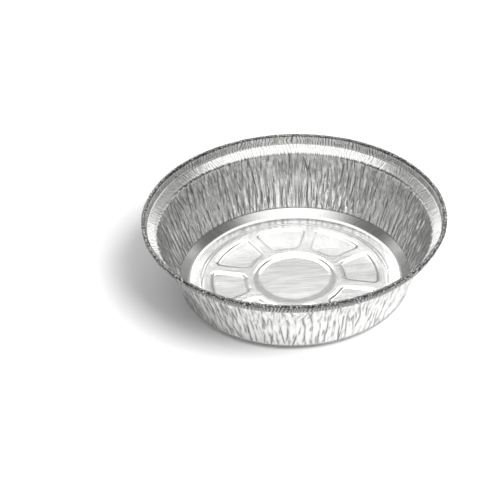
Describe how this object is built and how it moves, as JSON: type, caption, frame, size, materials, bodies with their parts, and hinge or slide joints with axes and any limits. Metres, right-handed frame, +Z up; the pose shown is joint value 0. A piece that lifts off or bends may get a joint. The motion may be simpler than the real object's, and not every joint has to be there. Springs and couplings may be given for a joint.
{
  "type": "foil pie tin",
  "caption": "Round aluminium foil pie tin with a pleated sloping wall, a ledge below a rolled rim, and a wheel of raised ribs pressed into its flat base.",
  "frame": {"origin": "middle of the flat base's underside, on the tin's axis", "axes": "+Z up along the axis, out of the open mouth; -Y towards the viewer of the picture"},
  "size_m": [0.181, 0.1808, 0.0487],
  "materials": {
    "foil": "bright rolled foil, bare"
  },
  "bodies": {
    "root": {"pie_tin": "foil"}
  },
  "joints": []
}
